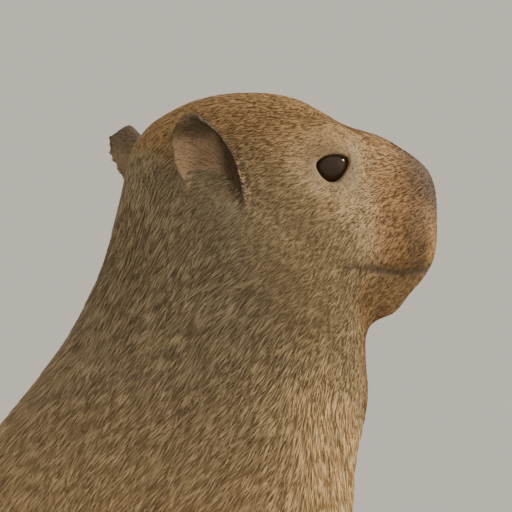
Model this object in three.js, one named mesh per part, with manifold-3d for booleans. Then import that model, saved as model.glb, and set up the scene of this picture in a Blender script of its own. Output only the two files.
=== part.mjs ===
// A young capybara sitting on its haunches, life size, in millimetres.
// +X is the way the body faces, +Y its left side, +Z up, and the floor is z = 0.
import * as THREE from "three";
import { mergeVertices } from "three/addons/utils/BufferGeometryUtils.js";
import Module from "manifold-3d";

const wasm = await Module();
wasm.setup();

// Driving sizes of the whole animal
const CROWN_HEIGHT = 440; // floor to the top of the head
const GAP = 0.3; // kept between neighbouring parts
const SLIVER = 0.05; // edges shorter than this are closed up
const BODY_CELL = 14; // grid step of the body's surface
const HEAD_CELL = 6.4; // grid step of the head's surface
const FOOT_CELL = 5.4; // grid step of the feet
const CLAW_CELL = 3.2; // grid step of the seats of the claws
const FLATNESS = 0.07; // share of a grid step by which a surface may be flattened

// How the head is carried: turned to the right and tipped to the left
const HEAD_TURN_DEG = -7;
const HEAD_TIP_DEG = -9;
const HEAD_PIVOT = new THREE.Vector3(-118, 0, CROWN_HEIGHT - 66);

// Face: places of the left side, back from the nose, out from the middle and down from the crown
const EYE_RADIUS = 11.5;
const EYE_AT = new THREE.Vector3(-63, 31.8, -38.5);
const LID_THICKNESS = 2.0;
const LID_SLIT_DEPTH = 40;
const NOSTRIL_RADIUS = 2.6;
const NOSTRIL = [
  [-1, 9, -44],
  [-5, 13.5, -46],
  [-10, 18, -50],
];
const LIP_GROOVE_RADIUS = 2.4;
const LIP_MIDDLE = [-6, 0, -87];
const LIP_TO_CORNER = [
  [-12, 13, -89],
  [-24, 22, -90],
  [-38, 27, -89],
  [-50, 33, -87],
  [-58, 40, -86],
];

// Ears: each a cupped blade that leans back and out and is turned about its upright axis
const EAR_AT = new THREE.Vector3(-118, 41, -49);
const EAR_HEIGHT = 41;
const EAR_WIDTH = 30;
const EAR_BACK_DEG = 11;
const EAR_OUT_DEG = 26;
const EAR_TURN_DEG = 30;
const EAR_SUNK = 10; // how far the blade runs down into the head
const EAR_WIDEST = 0.5; // where it is widest, as a share of its height
const EAR_SQUARE = 2.6; // how blunt its top is: 2 is a half round
const EAR_TIP = 0.42; // its width at the very top, as a share of the widest
const EAR_ROOT_WIDTH = 0.66; // its width at the root, as a share of the widest
const EAR_CUP = 9; // how far its edges stand in front of its middle
const EAR_SET_BACK = 5;
const EAR_FRONT_ROLL = 3; // how much further the front edge is rolled over
const EAR_SWEEP = 4; // how far its tip lies behind its root
const EAR_THIN = 1.5; // half its thickness at the back edge
const EAR_THICK_RIM = 1.6; // added along the front edge
const EAR_THICK_ROOT = 1.1; // added at the root

// Legs: joints of the left side, and the heights where the feet begin
const FORE_WRIST = [-90, 57, 46];
const FORE_PALM = [-76, 58, 15];
const KNEE = [-206, 92, 116];
const HEEL = [-292, 84, 20];
const HIND_PALM = [-196, 98, 14];
const WRIST_HEIGHT = 50;
const ANKLE_HEIGHT = 28;
const FORE_TOES = { heading: 4, count: 4, spreadDeg: 36, length: 35, radius: 7.2 };
const HIND_TOES = { heading: 9, count: 3, spreadDeg: 30, length: 43, radius: 9 };
const CLAW_LENGTH = 12;
const CLAW_DROOP_DEG = 13;
const CLAW_ROOT = 0.62; // a claw's radius at its root, as a share of its toe's
const CLAW_TIP = 0.985; // how far its roundness runs out at the tip
const CLAW_LIFT = 1.0;

// Planes that part the body: each has a point and the way it looks
const HEAD_PLANE = [[-104, 0, 356], [0.72, 0, 0.69]];
const NECK_PLANE = [[-120, 0, 292], [0.47, 0, 0.88]];
const RUMP_PLANE = [[-226, 0, 150], [0.72, 0, 0.69]];
const FORELEG_PLANES = [
  [[0, 40, 0], [0, 1, 0.05]],
  [[-120, 0, 282], [0.3, 0, -1]],
  [[-174, 0, 0], [1, 0, 0]],
  [[-66, 0, 0], [-1, 0, 0]],
];
const HINDLEG_PLANES = [
  [[0, 54, 0], [0, 1, 0]],
  [[-260, 0, 186], [0.1, 0, -1]],
  [[-174.4, 0, 0], [-1, 0, 0]],
];

// Spaces that hold the whole body, the head and the feet
const BODY_SPACE = [[-380, -150, -20], [20, 150, CROWN_HEIGHT + 25]];
const HEAD_SPACE = [[-175, -75, CROWN_HEIGHT - 165], [20, 75, CROWN_HEIGHT + 20]];
const FOREFOOT_SPACE = [[-130, 14, -10], [10, 110, 70]];
const HINDFOOT_SPACE = [[-330, 40, -10], [-105, 170, 50]];

function surfaceMaterial(color, roughness) {
  return new THREE.MeshStandardMaterial({ color, roughness, metalness: 0 });
}
const fur = surfaceMaterial(0x8a6647, 0.85);
const darkSkin = surfaceMaterial(0x3b2d20, 0.7);
const eyeGloss = surfaceMaterial(0x1a120b, 0.08);
const horn = surfaceMaterial(0x2e261e, 0.45);

const radians = THREE.MathUtils.degToRad;
const lerp = THREE.MathUtils.lerp;

// Distance fields: each takes x, y, z and is negative inside

// Joins two distances with a rounded fillet about as wide as soft
function blend(a, b, soft) {
  const h = Math.max(soft - Math.abs(a - b), 0) / soft;
  return Math.min(a, b) - (h * h * soft) / 4;
}

// Takes the second shape out of the first, with a rounded lip
function carve(a, b, soft) {
  return -blend(-a, b, soft);
}

function ellipsoid(centre, radii, tiltDeg = 0) {
  const c = Math.cos(radians(tiltDeg));
  const s = Math.sin(radians(tiltDeg));
  return (x, y, z) => {
    const dx = x - centre[0];
    const dy = y - centre[1];
    const dz = z - centre[2];
    const u = (c * dx + s * dz) / radii[0];
    const v = dy / radii[1];
    const w = (c * dz - s * dx) / radii[2];
    const k = Math.hypot(u, v, w);
    return (k - 1) * (k > 0.01 ? Math.hypot(dx, dy, dz) / k : Math.min(...radii));
  };
}

// A rod from a to b whose radius goes from ra to rb
function limb(a, b, ra, rb) {
  const from = new THREE.Vector3(...a);
  const along = new THREE.Vector3(...b).sub(from);
  const length2 = along.lengthSq();
  return (x, y, z) => {
    const dx = x - from.x;
    const dy = y - from.y;
    const dz = z - from.z;
    const t = THREE.MathUtils.clamp((dx * along.x + dy * along.y + dz * along.z) / length2, 0, 1);
    return Math.hypot(dx - t * along.x, dy - t * along.y, dz - t * along.z) - lerp(ra, rb, t);
  };
}

// A body swept along the middle plane. Each station has the x and z of its top and its bottom, half its
// width and how square its section is, and low makes the lower half wider than the upper.
function sweptBody(stations, low) {
  const sections = 72;
  const squareScale = 10;
  const curve = (pick) =>
    new THREE.CatmullRomCurve3(stations.map((s) => new THREE.Vector3(...pick(s))), false, "centripetal");
  const tops = curve((s) => [s.top[0], s.half, s.top[1]]);
  const bottoms = curve((s) => [s.bottom[0], squareScale * s.square, s.bottom[1]]);
  const list = [];
  for (let i = 0; i <= sections; i++) {
    const top = tops.getPoint(i / sections);
    const bottom = bottoms.getPoint(i / sections);
    const high = Math.hypot(top.x - bottom.x, top.z - bottom.z) / 2;
    const nx = (top.x - bottom.x) / (2 * high);
    const nz = (top.z - bottom.z) / (2 * high);
    list.push({
      cx: (top.x + bottom.x) / 2,
      cz: (top.z + bottom.z) / 2,
      nx,
      nz,
      high,
      half: top.y,
      square: bottom.y / squareScale,
    });
  }
  const inSection = (s, x, y, z) => {
    const n = (x - s.cx) * s.nx + (z - s.cz) * s.nz;
    const wide = Math.max(s.half * (1 - (low * n) / s.high), 1);
    const powers = Math.pow(Math.abs(n) / s.high, s.square) + Math.pow(Math.abs(y) / wide, s.square);
    const rho = Math.pow(powers, 1 / s.square);
    const reach = Math.hypot(n, y);
    return rho < 1e-4 ? -Math.min(s.high, s.half) : reach - reach / rho;
  };
  const between = (a, b, t) =>
    Object.fromEntries(Object.keys(a).map((key) => [key, lerp(a[key], b[key], t)]));
  const along = (s, x, z) => (x - s.cx) * s.nz - (z - s.cz) * s.nx;
  return (x, y, z) => {
    let best = Infinity;
    let before = along(list[0], x, z);
    for (let i = 0; i < sections; i++) {
      const after = along(list[i + 1], x, z);
      if (before >= 0 && after < 0) {
        const section = between(list[i], list[i + 1], before / (before - after));
        best = Math.min(best, inSection(section, x, y, z));
      }
      before = after;
    }
    if (best < Infinity) return best;
    for (const end of [list[0], list[sections]]) {
      const outside = Math.max(inSection(end, x, y, z), 0);
      best = Math.min(best, Math.hypot(outside, along(end, x, z)));
    }
    return best;
  };
}

// Torso and neck, from the rump forward and up
const torso = sweptBody(
  [
    { top: [-352, 34], bottom: [-330, 4], half: 26, square: 2.0 },
    { top: [-361, 84], bottom: [-288, -5], half: 78, square: 2.1 },
    { top: [-348, 134], bottom: [-238, 4], half: 97, square: 2.2 },
    { top: [-314, 186], bottom: [-190, 40], half: 98, square: 2.2 },
    { top: [-266, 236], bottom: [-146, 88], half: 93, square: 2.1 },
    { top: [-224, 277], bottom: [-104, 140], half: 87, square: 2.1 },
    { top: [-195, 308], bottom: [-68, 196], half: 80, square: 2.1 },
    { top: [-177, 331], bottom: [-44, 258], half: 72, square: 2.1 },
    { top: [-165, 355], bottom: [-35, 300], half: 63, square: 2.1 },
    { top: [-153, 382], bottom: [-46, 332], half: 55, square: 2.1 },
    { top: [-142, 402], bottom: [-66, 352], half: 47, square: 2.1 },
    { top: [-132, 412], bottom: [-84, 366], half: 30, square: 2.1 },
  ],
  0.06,
);

// Head, from the nape to the nose, with heights counted from the crown
const headShape = sweptBody(
  [
    { top: [-150, -44], bottom: [-124, -96], half: 22, square: 2.1 },
    { top: [-142, -20], bottom: [-108, -108], half: 40, square: 2.2 },
    { top: [-122, -5], bottom: [-92, -115], half: 47, square: 2.3 },
    { top: [-93, 0], bottom: [-76, -117], half: 49, square: 2.4 },
    { top: [-67, -4], bottom: [-60, -116], half: 44, square: 2.5 },
    { top: [-46, -16], bottom: [-47, -112], half: 37, square: 2.6 },
    { top: [-27, -22], bottom: [-34, -110], half: 33, square: 2.7 },
    { top: [-12, -31], bottom: [-19, -103], half: 30, square: 2.6 },
    { top: [-2, -45], bottom: [-8, -90], half: 23, square: 2.4 },
    { top: [1.5, -56], bottom: [-1, -72], half: 10, square: 2.0 },
  ],
  0.02,
);

const brow = ellipsoid([-61, 27.5, -26], [21, 10, 9], -14);
const cheek = ellipsoid([-78, 36, -78], [32, 17, 30]);
const eyeBulge = ellipsoid([EYE_AT.x, EYE_AT.y - 3, EYE_AT.z], [17, 12.5, 14.5]);
const lipPad = ellipsoid([-23, 16, -76], [20, 15, 20]);
const noseSide = ellipsoid([-12, 12, -50], [11, 12, 13]);
const chin = ellipsoid([-34, 0, -98], [19, 16, 12], -22);
const earRoot = ellipsoid([-108, 33, -55], [14, 11, 12]);
const earHollow = ellipsoid([-123, 50, -42], [8, 8, 12]);

function headField(x, y, z) {
  const side = Math.abs(y);
  let d = headShape(x, side, z);
  d = blend(d, cheek(x, side, z), 22);
  d = blend(d, brow(x, side, z), 12);
  d = blend(d, eyeBulge(x, side, z), 10);
  d = blend(d, lipPad(x, side, z), 12);
  d = blend(d, noseSide(x, side, z), 9);
  d = blend(d, chin(x, side, z), 9);
  d = blend(d, earRoot(x, side, z), 12);
  d = carve(d, earHollow(x, side, z), 5);
  return d;
}

// The head's own frame, set on the body by its turn and tip
const headFrame = new THREE.Matrix4()
  .makeTranslation(HEAD_PIVOT.x, HEAD_PIVOT.y, HEAD_PIVOT.z)
  .multiply(new THREE.Matrix4().makeRotationZ(radians(HEAD_TURN_DEG)))
  .multiply(new THREE.Matrix4().makeRotationX(radians(HEAD_TIP_DEG)))
  .multiply(new THREE.Matrix4().makeTranslation(-HEAD_PIVOT.x, 0, CROWN_HEIGHT - HEAD_PIVOT.z));
const intoHead = headFrame.clone().invert();
const probe = new THREE.Vector3();

function headInBody(x, y, z) {
  probe.set(x, y, z).applyMatrix4(intoHead);
  return headField(probe.x, probe.y, probe.z);
}

// Front leg of one side: shoulder, upper arm, forearm and foot
const shoulder = ellipsoid([-128, 56, 232], [52, 32, 66], -24);
const upperArm = limb([-118, 62, 210], [-144, 68, 134], 37, 29);
const forearm = limb([-144, 68, 132], FORE_WRIST, 28, 17);
const pastern = limb(FORE_WRIST, FORE_PALM, 17, 15);

// A foot's toes fan out from its palm, the outer ones shorter, and each ends in a claw
function toesOf(palm, { heading, count, spreadDeg, length, radius }) {
  const toes = [];
  const tipRadius = radius * 0.82;
  for (let i = 0; i < count; i++) {
    const share = i / (count - 1) - 0.5;
    const turn = radians(heading + share * spreadDeg);
    const reach = length * (1 - 0.55 * share * share * (1 + 0.5 * Math.sign(share)));
    const aside = share * radius * count * 1.05;
    const root = [palm[0] - Math.sin(turn) * aside, palm[1] + Math.cos(turn) * aside, palm[2] - 3];
    const tip = [root[0] + Math.cos(turn) * reach, root[1] + Math.sin(turn) * reach, tipRadius];
    const knuckle = [lerp(root[0], tip[0], 0.55), lerp(root[1], tip[1], 0.55), radius * 1.75];
    const bone = limb(root, knuckle, radius * 1.1, radius);
    const pad = limb(knuckle, tip, radius, tipRadius);
    toes.push({ tip, turn, radius, bone, pad });
  }
  return toes;
}

const foreToes = toesOf(FORE_PALM, FORE_TOES);

// Hind leg of one side: haunch, shank and long foot, with the heel near the rump
const haunch = ellipsoid([-268, 72, 106], [82, 48, 80], 22);
const thigh = limb([-290, 70, 100], KNEE, 50, 33);
const shank = limb(KNEE, HEEL, 30, 17);
const sole = limb(HEEL, HIND_PALM, 15, 13.5);
const hindToes = toesOf(HIND_PALM, HIND_TOES);

function toeField(toes, x, y, z) {
  let d = Infinity;
  for (const toe of toes) {
    d = Math.min(d, blend(toe.bone(x, y, z), toe.pad(x, y, z), 6));
  }
  return d;
}

const forePad = ellipsoid([FORE_PALM[0] + 10, FORE_PALM[1], 10], [22, 21, 10]);
const hindPad = ellipsoid([HIND_PALM[0] + 8, HIND_PALM[1] + 2, 10], [28, 21, 10]);

function foreFootField(x, y, z) {
  const palm = blend(pastern(x, y, z), forePad(x, y, z), 8);
  return blend(palm, toeField(foreToes, x, y, z), 7);
}

function foreLegField(x, y, z) {
  const arm = blend(upperArm(x, y, z), forearm(x, y, z), 14);
  return blend(arm, foreFootField(x, y, z), 6);
}

function hindFootField(x, y, z) {
  const palm = blend(sole(x, y, z), hindPad(x, y, z), 8);
  return blend(palm, toeField(hindToes, x, y, z), 7);
}

function hindLegField(x, y, z) {
  let d = blend(haunch(x, y, z), thigh(x, y, z), 26);
  d = blend(d, shank(x, y, z), 20);
  return blend(d, hindFootField(x, y, z), 8);
}

// The whole body: the legs melt into the trunk, as the skin drapes over them
function bodyField(x, y, z) {
  const side = Math.abs(y);
  let d = blend(torso(x, side, z), shoulder(x, side, z), 34);
  d = blend(d, foreLegField(x, side, z), 22);
  d = blend(d, hindLegField(x, side, z), 40);
  return blend(d, headInBody(x, y, z), 26);
}

// Where the surface crosses the twelve edges of a grid cell, by the number of the edge
function crossingsOf(corner) {
  const crossings = new Map();
  for (let axis = 0; axis < 3; axis++)
    for (let place = 0; place < 4; place++) {
      const at = [0, 0, 0];
      at[(axis + 1) % 3] = place & 1;
      at[(axis + 2) % 3] = place >> 1;
      const a = corner(...at);
      const far = at.slice();
      far[axis] = 1;
      const b = corner(...far);
      if (a < 0 === b < 0) continue;
      at[axis] = a / (a - b);
      crossings.set(axis * 4 + place, at);
    }
  return crossings;
}

// The crossed edges of a cell, grouped into the separate sheets of surface that pass through it
function sheetsOf(corner, crossings) {
  const group = new Map([...crossings.keys()].map((edge) => [edge, edge]));
  const join = (a, b) => {
    const from = group.get(a);
    const to = group.get(b);
    for (const [edge, label] of group) if (label === from) group.set(edge, to);
  };
  for (let face = 0; face < 3; face++)
    for (let level = 0; level < 2; level++) {
      const first = (face + 1) % 3;
      const second = (face + 2) % 3;
      const edgeAlongFirst = (t) => first * 4 + t + 2 * level;
      const edgeAlongSecond = (t) => second * 4 + level + 2 * t;
      const all = [0, 1].flatMap((t) => [edgeAlongFirst(t), edgeAlongSecond(t)]);
      const crossed = all.filter((edge) => crossings.has(edge));
      if (crossed.length === 2) join(...crossed);
      if (crossed.length < 4) continue;
      for (let a = 0; a < 2; a++)
        for (let b = 0; b < 2; b++) {
          const at = [0, 0, 0];
          at[face] = level;
          at[first] = a;
          at[second] = b;
          if (corner(...at) < 0) join(edgeAlongFirst(b), edgeAlongSecond(a));
        }
    }
  const sheets = new Map();
  for (const [edge, label] of group) sheets.set(label, [...(sheets.get(label) ?? []), edge]);
  return [...sheets.values()];
}

// A point moved along the field's slope on to the surface, unless that is too far
function pulledTo(field, start, most) {
  const step = 0.4;
  const p = start.slice();
  for (let turn = 0; turn < 2; turn++) {
    const f = field(...p);
    const slope = [0, 1, 2].map((axis) => {
      const q = p.slice();
      q[axis] += step;
      return (field(...q) - f) / step;
    });
    const steep = Math.max(slope[0] ** 2 + slope[1] ** 2 + slope[2] ** 2, 0.2);
    for (let axis = 0; axis < 3; axis++) p[axis] -= (f * slope[axis]) / steep;
  }
  const moved = Math.hypot(p[0] - start[0], p[1] - start[1], p[2] - start[2]);
  return moved < most ? p : start;
}

// The closed surface where a field is zero, with a vertex for each sheet of it in each grid cell
function surfaceOf(field, [low, high], cell) {
  const size = [0, 1, 2].map((i) => Math.ceil((high[i] - low[i]) / cell) + 1);
  const [nx, ny, nz] = size;
  const value = new Float64Array(nx * ny * nz);
  const at = (i, j, k) => i + nx * (j + ny * k);
  for (let k = 0; k < nz; k++)
    for (let j = 0; j < ny; j++)
      for (let i = 0; i < nx; i++) {
        const rim = i === 0 || j === 0 || k === 0 || i === nx - 1 || j === ny - 1 || k === nz - 1;
        const d = field(low[0] + i * cell, low[1] + j * cell, low[2] + k * cell);
        value[at(i, j, k)] = rim ? Math.max(d, 0.01) : d;
      }
  const index = new Map();
  const points = [];
  for (let k = 0; k < nz - 1; k++)
    for (let j = 0; j < ny - 1; j++)
      for (let i = 0; i < nx - 1; i++) {
        const corner = (dx, dy, dz) => value[at(i + dx, j + dy, k + dz)];
        const crossings = crossingsOf(corner);
        const rim = i === 0 || j === 0 || k === 0 || i === nx - 2 || j === ny - 2 || k === nz - 2;
        for (const sheet of sheetsOf(corner, crossings)) {
          const p = [0, 1, 2].map((axis) => {
            const sum = sheet.reduce((total, edge) => total + crossings.get(edge)[axis], 0);
            return low[axis] + ([i, j, k][axis] + sum / sheet.length) * cell;
          });
          for (const edge of sheet) index.set(at(i, j, k) * 12 + edge, points.length);
          points.push(rim ? p : pulledTo(field, p, 0.45 * cell));
        }
      }
  const faces = [];
  const quad = (a, b, c, d) => {
    const [pa, pb, pc, pd] = [a, b, c, d].map((v) => points[v]);
    const long = (p, q) => Math.hypot(p[0] - q[0], p[1] - q[1], p[2] - q[2]);
    if (long(pa, pc) < long(pb, pd)) faces.push(a, b, c, a, c, d);
    else faces.push(a, b, d, b, c, d);
  };
  for (let axis = 0; axis < 3; axis++) {
    const next = (axis + 1) % 3;
    const last = (axis + 2) % 3;
    const spot = [0, 0, 0];
    for (spot[axis] = 0; spot[axis] < size[axis] - 1; spot[axis]++)
      for (spot[next] = 1; spot[next] < size[next] - 1; spot[next]++)
        for (spot[last] = 1; spot[last] < size[last] - 1; spot[last]++) {
          const here = value[at(...spot)] < 0;
          const there = spot.slice();
          there[axis]++;
          if (here === value[at(...there)] < 0) continue;
          const cellBack = (back1, back2) => {
            const c = spot.slice();
            c[next] -= back1;
            c[last] -= back2;
            return index.get(at(...c) * 12 + axis * 4 + back1 + 2 * back2);
          };
          const ring = [cellBack(1, 1), cellBack(0, 1), cellBack(0, 0), cellBack(1, 0)];
          quad(...(here ? ring : ring.reverse()));
        }
  }
  const solid = new wasm.Manifold(
    new wasm.Mesh({
      numProp: 3,
      vertProperties: new Float32Array(points.flat()),
      triVerts: new Uint32Array(faces),
    }),
  );
  return solid.simplify(cell * FLATNESS);
}

// A closed geometry as a solid, placed by a matrix; one that mirrors also turns the faces round
function solidFrom(geometry, matrix) {
  const bare = geometry.clone();
  bare.deleteAttribute("normal");
  bare.deleteAttribute("uv");
  bare.applyMatrix4(matrix);
  const merged = mergeVertices(bare, 1e-3);
  const triVerts = new Uint32Array(merged.index.array);
  if (matrix.determinant() < 0) triVerts.reverse();
  return new wasm.Manifold(
    new wasm.Mesh({
      numProp: 3,
      vertProperties: merged.attributes.position.array,
      triVerts,
    }),
  );
}

function largestOf(solid) {
  return solid.decompose().reduce((a, b) => (b.volume() > a.volume() ? b : a));
}

function geometryOf(solid) {
  const mesh = solid.getMesh();
  const stride = mesh.numProp;
  const position = new Float32Array(mesh.numVert * 3);
  for (let i = 0; i < mesh.numVert; i++)
    position.set(mesh.vertProperties.subarray(i * stride, i * stride + 3), i * 3);
  const geometry = new THREE.BufferGeometry();
  geometry.setAttribute("position", new THREE.BufferAttribute(position, 3));
  geometry.setIndex(new THREE.BufferAttribute(mesh.triVerts, 1));
  return geometry;
}

function block(low, high) {
  const size = high.map((h, i) => h - low[i]);
  const middle = high.map((h, i) => (h + low[i]) / 2);
  const box = new THREE.BoxGeometry(...size);
  return solidFrom(box, new THREE.Matrix4().makeTranslation(...middle));
}

// A big block on one side of a plane: from the point on, the way the normal looks
function beyond(point, normal, shift = 0) {
  const far = 900;
  const box = new THREE.BoxGeometry(far, far, far);
  const facing = new THREE.Quaternion().setFromUnitVectors(
    new THREE.Vector3(0, 0, 1),
    new THREE.Vector3(...normal).normalize(),
  );
  const place = new THREE.Matrix4()
    .makeTranslation(...point)
    .multiply(new THREE.Matrix4().makeRotationFromQuaternion(facing))
    .multiply(new THREE.Matrix4().makeTranslation(0, 0, far / 2 + shift));
  return solidFrom(box, place);
}

// The space within several planes, grown by the given amount
function within(planes, side, grow) {
  const halves = planes.map(([point, normal]) =>
    beyond([point[0], side * point[1], point[2]], [normal[0], side * normal[1], normal[2]], -grow),
  );
  return halves.reduce((a, b) => a.intersect(b));
}

// An eye
function eyeball(side, radius) {
  const centre = new THREE.Vector3(EYE_AT.x, side * EYE_AT.y, EYE_AT.z).applyMatrix4(headFrame);
  return solidFrom(
    new THREE.SphereGeometry(radius, 16, 10),
    new THREE.Matrix4().makeTranslation(...centre),
  );
}

// The frame of an eye's socket, lined up with the head
function inEyeSocket(side) {
  return new THREE.Matrix4()
    .multiply(headFrame)
    .multiply(new THREE.Matrix4().makeTranslation(EYE_AT.x, side * EYE_AT.y, EYE_AT.z));
}

// The lids are a ball a little bigger than the eye
function lidBall(side) {
  const outer = EYE_RADIUS + GAP + LID_THICKNESS;
  return solidFrom(new THREE.SphereGeometry(outer, 18, 12), inEyeSocket(side));
}

// The almond-shaped opening between the lids, run out through the side of the head
function lidSlit(side) {
  const slit = new THREE.Shape();
  slit.moveTo(-10.4, 1);
  slit.quadraticCurveTo(-2, 9.6, 9.8, 3);
  slit.quadraticCurveTo(4, -9.6, -3, -8.4);
  slit.quadraticCurveTo(-8.5, -6.4, -10.4, 1);
  const depth = LID_SLIT_DEPTH;
  const prism = new THREE.ExtrudeGeometry(slit, { depth, bevelEnabled: false, curveSegments: 5 });
  const facing = new THREE.Matrix4()
    .makeRotationX(radians(90))
    .multiply(new THREE.Matrix4().makeTranslation(0, 0, side > 0 ? -depth : 0));
  return solidFrom(prism.applyMatrix4(facing), inEyeSocket(side));
}

// A rod along points given in the head's frame, to cut a groove or a nostril
function headRod(points, radius) {
  const curve = new THREE.CatmullRomCurve3(points.map((p) => new THREE.Vector3(...p)));
  const ring = new THREE.Shape();
  ring.absarc(0, 0, radius, 0, Math.PI * 2);
  const rod = new THREE.ExtrudeGeometry(ring, {
    steps: 4 * points.length,
    extrudePath: curve,
    curveSegments: 4,
    bevelEnabled: false,
  });
  return solidFrom(rod, headFrame);
}

// One level of an ear, as a closed ring of points round its front and back faces
function earRing(v, across) {
  const narrowing = Math.max(v - EAR_WIDEST, 0) / (1 - EAR_WIDEST);
  const round = Math.max(1 - narrowing ** EAR_SQUARE, EAR_TIP ** EAR_SQUARE) ** (1 / EAR_SQUARE);
  const spread = lerp(EAR_ROOT_WIDTH, 1, Math.min(v / EAR_WIDEST, 1));
  const half = (EAR_WIDTH / 2) * spread * round;
  const rise = -EAR_SUNK + (EAR_HEIGHT + EAR_SUNK) * v;
  const pointAt = (u, face) => {
    const cup = EAR_CUP * u * u + EAR_FRONT_ROLL * Math.max(u, 0) ** 3;
    const thick = EAR_THIN + EAR_THICK_RIM * Math.max(u, 0) ** 3 + EAR_THICK_ROOT * (1 - v);
    const edge = Math.sqrt(Math.max(1 - u * u, 0.22));
    return new THREE.Vector3(half * u - EAR_SWEEP * v, cup + face * thick * edge - EAR_SET_BACK, rise);
  };
  const ring = [];
  for (let step = 0; step <= across; step++) ring.push(pointAt((2 * step) / across - 1, 1));
  for (let step = across - 1; step > 0; step--) ring.push(pointAt((2 * step) / across - 1, -1));
  return ring;
}

// The triangles between the rings of an ear, and over its two ends
function earFaces(levels, across, count) {
  const faces = [];
  for (let level = 0; level < levels; level++)
    for (let i = 0; i < count; i++) {
      const a = level * count + i;
      const b = level * count + ((i + 1) % count);
      faces.push(a, a + count, b, b, a + count, b + count);
    }
  const cap = (start, p, q, r) => {
    if (start === 0) faces.push(p, q, r);
    else faces.push(start + p, start + r, start + q);
  };
  for (const start of [0, levels * count]) {
    cap(start, 0, 1, count - 1);
    cap(start, across - 1, across, across + 1);
    for (let i = 1; i < across - 1; i++) {
      cap(start, i, i + 1, count - i - 1);
      cap(start, i, count - i - 1, count - i);
    }
  }
  return faces;
}

// An ear, made for the left side and mirrored for the right
function ear(side) {
  const across = 12;
  const levels = 9;
  const rings = [];
  for (let level = 0; level <= levels; level++) {
    const v = 1 - (1 - level / levels) ** 1.6;
    rings.push(earRing(v, across));
  }
  const geometry = new THREE.BufferGeometry().setFromPoints(rings.flat());
  geometry.setIndex(earFaces(levels, across, rings[0].length));
  const place = headFrame
    .clone()
    .multiply(new THREE.Matrix4().makeScale(1, side, 1))
    .multiply(new THREE.Matrix4().makeTranslation(...EAR_AT))
    .multiply(new THREE.Matrix4().makeRotationZ(radians(EAR_TURN_DEG)))
    .multiply(new THREE.Matrix4().makeRotationX(radians(-EAR_OUT_DEG)))
    .multiply(new THREE.Matrix4().makeRotationY(radians(-EAR_BACK_DEG)));
  return solidFrom(geometry, place);
}

// A claw: a tapering, slightly drooping blade ahead of its toe
function claw(toe, side) {
  const steps = 5;
  const profile = [new THREE.Vector2(0, 0)];
  for (let i = 0; i <= steps; i++) {
    const t = i / steps;
    const radius = toe.radius * CLAW_ROOT * Math.sqrt(1 - t * t * CLAW_TIP);
    profile.push(new THREE.Vector2(radius, t * CLAW_LENGTH));
  }
  profile.push(new THREE.Vector2(0, CLAW_LENGTH));
  const cone = new THREE.LatheGeometry(profile, 10);
  const place = new THREE.Matrix4()
    .makeTranslation(toe.tip[0], side * toe.tip[1], toe.tip[2] + CLAW_LIFT)
    .multiply(new THREE.Matrix4().makeRotationZ(side * toe.turn))
    .multiply(new THREE.Matrix4().makeRotationY(radians(90 + CLAW_DROOP_DEG)))
    .multiply(new THREE.Matrix4().makeScale(0.8, 0.95, 1))
    .multiply(new THREE.Matrix4().makeRotationX(radians(90)));
  return solidFrom(cone, place);
}

// A pair of corners given for the left side, moved to the side asked for
function onSide(side, [low, high]) {
  if (side > 0) return [low, high];
  return [[low[0], -high[1], low[2]], [high[0], -low[1], high[2]]];
}

// Where a foot lies: below the wrist, or below the ankle
function foreFootBlock(side, grow) {
  return block(...onSide(side, [[-135, 14, -30], [15, 120, WRIST_HEIGHT + grow]]));
}

function hindFootBlock(side, grow) {
  return block(...onSide(side, [[-335, 58, -30], [-100, 175, ANKLE_HEIGHT + grow]]));
}

// The foot's surface a little enlarged round one toe, for the claw to end against
function toeShell(field, toe, side) {
  const reach = toe.radius * 2.2;
  const low = [toe.tip[0] - 14, toe.tip[1] - reach, -6];
  const high = [toe.tip[0] + reach, toe.tip[1] + reach, toe.tip[2] + reach];
  const grown = (x, y, z) => field(x, side * y, z) - 2 * GAP;
  return surfaceOf(grown, onSide(side, [low, high]), CLAW_CELL);
}

const model = new THREE.Group();

function addPart(name, solid, material) {
  const mesh = new THREE.Mesh(geometryOf(largestOf(solid).simplify(SLIVER)), material);
  mesh.name = name;
  model.add(mesh);
}

// The head, with its sockets and lids, nostrils and the line of the lips
function headSolid() {
  let head = surfaceOf(bodyField, HEAD_SPACE, HEAD_CELL).intersect(beyond(...HEAD_PLANE, GAP));
  for (const [side] of SIDES) {
    head = head.add(lidBall(side)).subtract(lidSlit(side)).subtract(eyeball(side, EYE_RADIUS + GAP));
    head = head.subtract(headRod(NOSTRIL.map(([x, y, z]) => [x, side * y, z]), NOSTRIL_RADIUS));
  }
  const toRight = LIP_TO_CORNER.map(([x, y, z]) => [x, -y, z]);
  const lips = [...LIP_TO_CORNER.slice().reverse(), LIP_MIDDLE, ...toRight];
  return head.subtract(headRod(lips, LIP_GROOVE_RADIUS));
}

// A hull a little outside the head, for the ears to end against
function headHull() {
  return surfaceOf((x, y, z) => bodyField(x, y, z) - 2.5 * GAP, HEAD_SPACE, HEAD_CELL);
}

function addFeet(side, name) {
  const foreFoot = surfaceOf(bodyField, onSide(side, FOREFOOT_SPACE), FOOT_CELL).subtract(floorBlock);
  const hindFoot = surfaceOf(bodyField, onSide(side, HINDFOOT_SPACE), FOOT_CELL).subtract(floorBlock);
  addPart("forefoot_" + name, foreFoot.intersect(foreFootBlock(side, 0)), darkSkin);
  addPart("hindfoot_" + name, hindFoot.intersect(hindFootBlock(side, 0)), darkSkin);
}

function addClaws(prefix, toes, field, side) {
  toes.forEach((toe, i) => {
    const trimmed = claw(toe, side).subtract(toeShell(field, toe, side));
    addPart(prefix + "_" + (i + 1), trimmed, horn);
  });
}

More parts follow.
